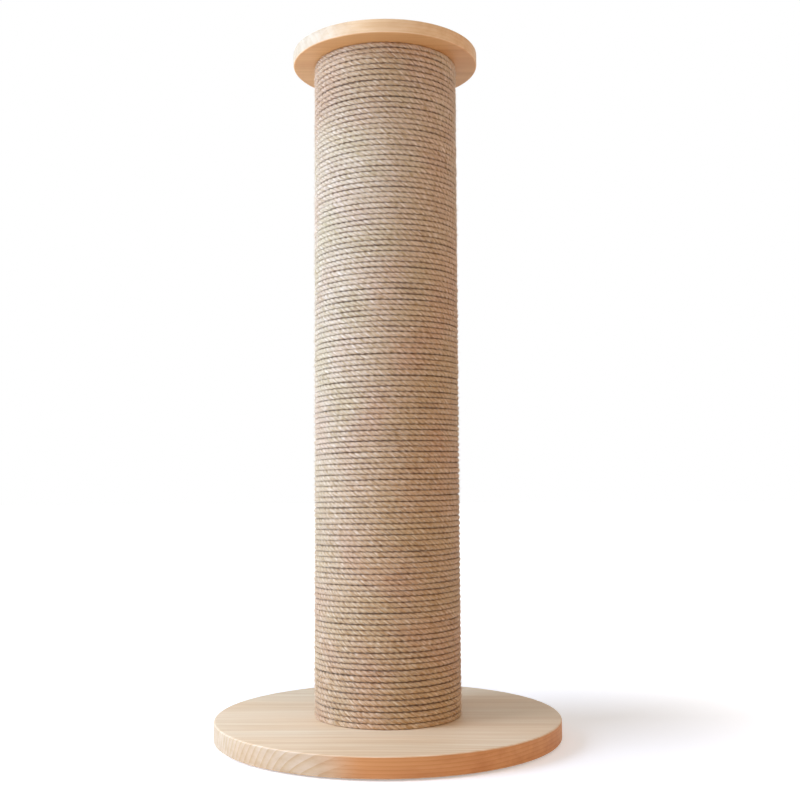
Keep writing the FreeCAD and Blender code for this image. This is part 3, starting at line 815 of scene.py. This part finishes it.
def pine(name, heart, spacing, figure, heartwood, rim_colours, under_shade_colour):
    """Solid pine whose rings lie round a line along x through heart, its y and z in millimetres.

    The rings are spacing millimetres apart, and figure is how strongly they show, from 0 to 1.
    The rim changes from sapwood to heartwood between the two x of heartwood, and rim_colours
    are its two tints; they also paint shade, greyer on the lit left and warmer away from the lamp.
    The underside gets painted shade, a tint of under_shade_colour."""
    material = new_material(name)
    place = object_place(material)
    x, y, z = split(material, place)
    in_tree = add_node(material, "ShaderNodeMapping", None,
                       {"Vector": place, "Rotation": HEART_TILT,
                        "Location": (0, -heart[0] * MM, -heart[1] * MM)}).outputs[0]
    bend_place = stretch(material, in_tree, BENDS)
    bend = noise(material, bend_place, 1.0, 2)
    radius = distance_from_axis(material, in_tree, (0, 1, 1))
    bent = calculate(material, "MULTIPLY_ADD", bend, RING_WANDER, radius)
    round_ring = repeat(material, bent, spacing * MM)

    normal = add_node(material, "ShaderNodeNewGeometry").outputs["True Normal"]
    facing_up = split(material, normal)[2]
    level = calculate(material, "ABSOLUTE", facing_up)
    rim = map_range(material, level, (0.2, 0.8), (1, 0), "LINEAR")
    # painted shade: the underside is tinted darker and warmer
    painted_under_shade = map_range(material, facing_up, (-0.9, -0.4), (1, 0), "LINEAR")
    # partly painted shade: the rim's tint across x stands for heartwood and for the side away from
    # the lamp
    border = calculate(material, "MULTIPLY_ADD", bend, BORDER_WANDER, x)
    heartwood_and_shade_share = map_range(material, border, [edge * MM + BORDER_WANDER / 2 for edge in heartwood])
    wave = calculate(material, "MULTIPLY_ADD", bend, LAYER_WANDER, z)
    flat_share = calculate(material, "MULTIPLY", heartwood_and_shade_share, rim)
    ring = add_node(material, "ShaderNodeMix", None,
                    {"Factor": flat_share, "A": round_ring,
                     "B": repeat(material, wave, LAYER)}).outputs[0]

    wood = mix(material, figure, SOFT_WOOD, ramp(material, ring, RING_COLOURS))
    streaks = noise(material, stretch(material, in_tree, GRAIN), 1.0, 5, roughness=0.65)
    fine = ramp(material, streaks, [(0.35, "#e6d7c1"), (0.62, "#ffffff")])
    streaked = mix(material, 0.6, wood, fine, "MULTIPLY")
    cloud = noise(material, bend_place, 1.7, 3)
    clouds = ramp(material, cloud, [(0.35, "#fbf0e4"), (0.65, "#ffffff")])
    cloudy = mix(material, 1.0, streaked, clouds, "MULTIPLY")
    rim_tint_and_shade = mix(material, heartwood_and_shade_share, *rim_colours)
    rimmed = mix(material, rim, cloudy, rim_tint_and_shade, "MULTIPLY")
    whole_board = mix(material, painted_under_shade, rimmed, under_shade_colour, "MULTIPLY")
    return end_material(material, {
        "Base Color": whole_board, "Roughness": 0.55, "IOR": 1.5,
        "Normal": relief(material, ring, strength=0.12, distance=0.15)})


# the rim tints and the underside colour of each board hold painted shade besides the pine's colour
base_pine = pine("sanded pine, base", heart=(-400, -62), spacing=5.5, figure=0.8,
                 heartwood=(-70, -10), rim_colours=("#d8d3ce", "#dbab7b"),
                 under_shade_colour="#f2dcc0")
top_pine = pine("sanded pine, top", heart=(300, 640), spacing=5.0, figure=0.3,
                heartwood=(-100, -20), rim_colours=("#d2d5d8", "#f0e2ce"),
                under_shade_colour="#e8bf90")
dress(base_board, base_pine, node="base_board")
dress(top_board, top_pine, node="top_board")

# %% [markdown]
# ## The parts underneath
#
# Four rubber pads keep the base from sliding. One is turned, with eased rims and a sunk ring
# underneath that helps it grip, and copied to the other three places. Each copy has its own mesh,
# and each is moved to the place that the CAD gives.

# %% Mould the pads
PAD_RADIUS = 15.0
PAD_RIM = 0.5
RING_INSET = 2.5
RING_WIDTH = 3.0
RING_WALL = 0.3
RING_DEPTH = 0.4
PAD_CORNERS = ((1, 1), (-1, 1), (-1, -1), (1, -1))
pad_low, pad_high = [corner[2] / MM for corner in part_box("non_slip_pads")]
pad_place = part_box("non_slip_pads")[1][0] / MM - PAD_RADIUS

first_pad = new_disc("rubber_pad_1", PAD_RADIUS, pad_low, pad_high, 64)
begin(first_pad)
pick(first_pad, "edges", end_loop)
bevel(PAD_RIM, 3)
pick(first_pad, "faces", looks_down)
inset(RING_INSET)
inset(RING_WALL, -RING_DEPTH)
inset(RING_WIDTH)
inset(RING_WALL, RING_DEPTH)
finish_mesh(first_pad)

pads = [first_pad]
for number in (2, 3, 4):
    select_only(first_pad)
    bpy.ops.object.duplicate(linked=False)
    pads.append(bpy.context.active_object)
    pads[-1].name = f"rubber_pad_{number}"
for pad, (side_x, side_y) in zip(pads, PAD_CORNERS):
    select_only(pad)
    bpy.ops.transform.translate(value=(side_x * pad_place * MM, side_y * pad_place * MM, 0))
    bpy.ops.object.transform_apply(location=True, rotation=True, scale=True)
print("pads:", len(pads), "at", round(pad_place, 1), "mm in x and y")

# %% [markdown]
# The base bolt is a socket-head screw. Its head has a knurled side, made by sinking every other
# side face a little, and an eased rim.

# %% Turn the bolt
SHANK_RADIUS = 4.0
HEAD_FLANKS = 72
HEAD_RIM = 0.5
KNURL_EDGE = 0.08
KNURL_DEPTH = 0.15
POINT_CHAMFER = 0.8
bolt_low, bolt_high = [corner[2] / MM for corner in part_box("base_bolt")]
head_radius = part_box("base_bolt")[1][0] / MM
washer_low, washer_high = [corner[2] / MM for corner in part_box("base_washer")]
washer_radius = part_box("base_washer")[1][0] / MM


def every_other_flank(face):
    """True for every other face of the head's side."""
    flank = math.atan2(face.normal.y, face.normal.x) / math.tau * HEAD_FLANKS
    return abs(face.normal.z) < 0.1 and round(flank - 0.5) % 2 == 0


bolt = new_disc("socket_bolt", head_radius, bolt_low, washer_low, HEAD_FLANKS)
begin(bolt)
pick(bolt, "edges", lambda edge: end_loop(edge) and height(edge) < bolt_low + 0.1)
bevel(HEAD_RIM, 3)
print("knurls:", pick(bolt, "faces", every_other_flank))
inset(KNURL_EDGE, -KNURL_DEPTH, each=True)
pick(bolt, "faces", looks_up)
inset(head_radius - SHANK_RADIUS)
extrude_up(bolt_high - washer_low)
pick(bolt, "edges", lambda edge: end_loop(edge) and height(edge) > bolt_high - 0.1)
bevel(POINT_CHAMFER, 1)
finish_mesh(bolt, angle=25)

# %% [markdown]
# The hexagon socket is cut by a Boolean modifier with a six-sided bar, which is applied and then
# deleted. The washer is a flat ring with eased edges.

# %% Cut the socket and turn the washer
SOCKET_WIDTH = 6.0
SOCKET_DEPTH = 4.0
WASHER_RIM = 0.3
corner_radius = SOCKET_WIDTH / 2 / math.cos(math.pi / 6)
key_bar = new_disc("key_bar", corner_radius, bolt_low - 1, bolt_low + SOCKET_DEPTH, 6)
select_only(bolt)
bpy.ops.object.modifier_add(type="BOOLEAN")
bolt.modifiers[-1].operation = "DIFFERENCE"
bolt.modifiers[-1].object = key_bar
bpy.ops.object.modifier_apply(modifier=bolt.modifiers[-1].name)
bpy.data.objects.remove(key_bar)
print(bolt.name, "has", len(bolt.data.polygons), "faces with its socket")

washer = new_disc("flat_washer", washer_radius, washer_low, washer_high, 64)
begin(washer)
pick(washer, "faces", lambda face: looks_up(face) or looks_down(face))
inset(washer_radius - HOLE_RADIUS)
bpy.ops.mesh.delete(type="FACE")
join_rims(washer)
pick(washer, "edges", lambda edge: end_loop(edge) and edge.calc_length() > 1 * MM)
bevel(WASHER_RIM, 2)
finish_mesh(washer)

# %% [markdown]
# ## Rubber and steel
#
# The pads are black moulded rubber: matt, hardly shiny, with a fine grainy skin. The fasteners
# are steel with a bright zinc coat, a metal that mirrors softly and a little unevenly.

# %% Make the rubber and the zinc
def rubber():
    """Black moulded rubber with a fine grain."""
    material = new_material("moulded rubber")
    place = object_place(material)
    grain = noise(material, place, 1500.0, 2)
    dust = noise(material, place, 120.0, 3)
    black = ramp(material, dust, [(0.35, "#232324"), (0.7, "#353434")])
    return end_material(material, {
        "Base Color": black, "Roughness": 0.8, "IOR": 1.52,
        "Normal": relief(material, grain, strength=0.5, distance=0.1)})


def zinc():
    """Steel with a bright zinc coat."""
    material = new_material("zinc-plated steel")
    spangle = noise(material, object_place(material), 350.0, 2)
    coat = ramp(material, spangle, [(0.3, "#bfc3c6"), (0.7, "#d7d9d8")])
    polish = map_range(material, spangle, (0, 1), (0.26, 0.42), "LINEAR")
    return end_material(material, {"Base Color": coat, "Metallic": 1.0, "Roughness": polish})


rubber_material = rubber()
for pad in pads:
    dress(pad, rubber_material, node="non_slip_pads")
zinc_material = zinc()
dress(bolt, zinc_material, node="base_bolt")
dress(washer, zinc_material, node="base_washer")

# %% [markdown]
# ## The parts inside
#
# The tube, the plugs and the other fasteners are never seen from outside, and their CAD shapes are
# right, so they stay and only get their materials. Cardboard tube is wound from strips of grey-
# brown paper, whose seams climb round it in a spiral. Plywood shows its plies as thin layers, pale
# and brown in turn, 1.5 mm each.

# %% Dress the CAD pieces inside
SEAM_RISE = 90 * MM
PLY_PAIR = 3.0 * MM


def cardboard():
    """Spiral-wound brown board, with a seam every 90 mm up the tube."""
    material = new_material("wound cardboard")
    place = object_place(material)
    x, y, z = split(material, place)
    angle = calculate(material, "ARCTAN2", y, x)
    rise = calculate(material, "MULTIPLY_ADD", z, math.tau / SEAM_RISE, angle)
    strip = repeat(material, rise, math.tau)
    paper = ramp(material, strip, [(0.0, "#7d6448"), (0.02, "#b4966d"), (0.97, "#ad8f67"),
                                   (1.0, "#7d6448")])
    pulp = noise(material, place, 300.0, 4)
    flecks = ramp(material, pulp, [(0.3, "#d9d2c8"), (0.6, "#ffffff")])
    board = mix(material, 1.0, paper, flecks, "MULTIPLY")
    return end_material(material, {"Base Color": board, "Roughness": 0.85})


def plywood():
    """Birch plywood with plies 1.5 mm thick."""
    material = new_material("birch plywood")
    place = object_place(material)
    ply = repeat(material, split(material, place)[2], PLY_PAIR)
    layers = ramp(material, ply, [(0.0, "#dcc39c"), (0.46, "#d8bd94"), (0.5, "#b48c5f"),
                                  (0.96, "#ba9366"), (1.0, "#dcc39c")])
    grain = noise(material, stretch(material, place, (12, 250, 250)), 1.0, 3)
    lines = ramp(material, grain, [(0.35, "#e0d4c2"), (0.65, "#ffffff")])
    veneer = mix(material, 1.0, layers, lines, "MULTIPLY")
    return end_material(material, {"Base Color": veneer, "Roughness": 0.6})


plywood_material = plywood()
inside = {"core_tube": cardboard(), "lower_plug": plywood_material,
          "upper_plug": plywood_material, "tee_nuts": zinc_material,
          "top_stud": zinc_material, "top_insert": zinc_material}
for name, material in inside.items():
    for material_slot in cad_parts[name].material_slots:
        material_slot.material = material
print("CAD pieces kept:", sorted(inside))

# %% [markdown]
# ## Light and floor
#
# A large soft lamp stands at the left and in front, cool like daylight. A weaker one at the right
# is warm, a third hangs above, and the world gives an even grey light, as in a white studio. What
# the eye sees of the world, straight or mirrored, is white.

# %% Set the light
WORLD_LIGHT = 0.31
AIM = Vector((0, 0, 0.4))


def new_lamp(name, power, size, place, colour):
    """A square soft lamp that shines at the middle of the post, in watts and metres."""
    lamp = bpy.data.lights.new(name, "AREA")
    lamp.energy = power
    lamp.size = size
    lamp.color = linear(colour)[:3]
    stand = bpy.data.objects.new(name, lamp)
    stand.location = place
    stand.rotation_euler = (AIM - Vector(place)).to_track_quat("-Z", "Y").to_euler()
    bpy.context.scene.collection.objects.link(stand)
    print("lamp", name, "at", place)


def seen(material):
    """1 for a ray that the eye sees straight, mirrored or through glass, and 0 for other light."""
    path = add_node(material, "ShaderNodeLightPath").outputs
    straight = calculate(material, "MAXIMUM", path["Is Camera Ray"], path["Is Glossy Ray"])
    return calculate(material, "MAXIMUM", straight, path["Is Transmission Ray"])


new_lamp("key", power=72, size=1.4, place=(-1.9, -0.62, 0.95), colour="#d9e6ff")
new_lamp("fill", power=20.5, size=1.6, place=(1.7, -1.75, 0.7), colour="#ffc084")
new_lamp("top", power=4, size=1.5, place=(-0.3, -0.4, 2.2), colour="#f4f8ff")

world = bpy.data.worlds.new("studio")
bpy.context.scene.world = world
world.use_nodes = True
world.node_tree.nodes.clear()
strength = map_range(world, seen(world), (0, 1), (WORLD_LIGHT, 1), "LINEAR")
background = add_node(world, "ShaderNodeBackground", None,
                      {"Color": "#ffffff", "Strength": strength})
add_node(world, "ShaderNodeOutputWorld", None, {"Surface": background.outputs[0]})

# %% [markdown]
# The floor is white, and it glows white to the eye far from the object, so that it melts into the
# backdrop. Near the object it glows less, which keeps the shadow.

# %% Lay the floor
FLOOR_SIZE = 30
GLOW_DISTANCES = (0.25, 0.8)
GLOWS = (0.35, 1)
bpy.ops.object.select_all(action="DESELECT")
bpy.ops.mesh.primitive_plane_add(size=FLOOR_SIZE, location=(0, 0, 0))
floor = bpy.context.active_object
floor.name = "floor"
floor_paint = new_material("white studio floor")
away = distance_from_axis(floor_paint, object_place(floor_paint), (1, 1, 0))
glow = map_range(floor_paint, away, GLOW_DISTANCES, GLOWS)
seen_glow = calculate(floor_paint, "MULTIPLY", glow, seen(floor_paint))
matt = add_node(floor_paint, "ShaderNodeBsdfDiffuse", None, {"Color": "#f2f2f2"})
light = add_node(floor_paint, "ShaderNodeEmission", None,
                 {"Color": "#ffffff", "Strength": seen_glow})
both = add_node(floor_paint, "ShaderNodeAddShader", None,
                {0: matt.outputs[0], 1: light.outputs[0]})
add_node(floor_paint, "ShaderNodeOutputMaterial", None, {"Surface": both.outputs[0]})
floor.data.materials.append(floor_paint)
print("floor:", FLOOR_SIZE, "m wide")

# %% [markdown]
# The Standard view shows every colour as it was mixed, so the render can be laid beside the
# photograph.

# %% Colour management
bpy.context.scene.view_settings.view_transform = "Standard"
print("view:", bpy.context.scene.view_settings.view_transform)
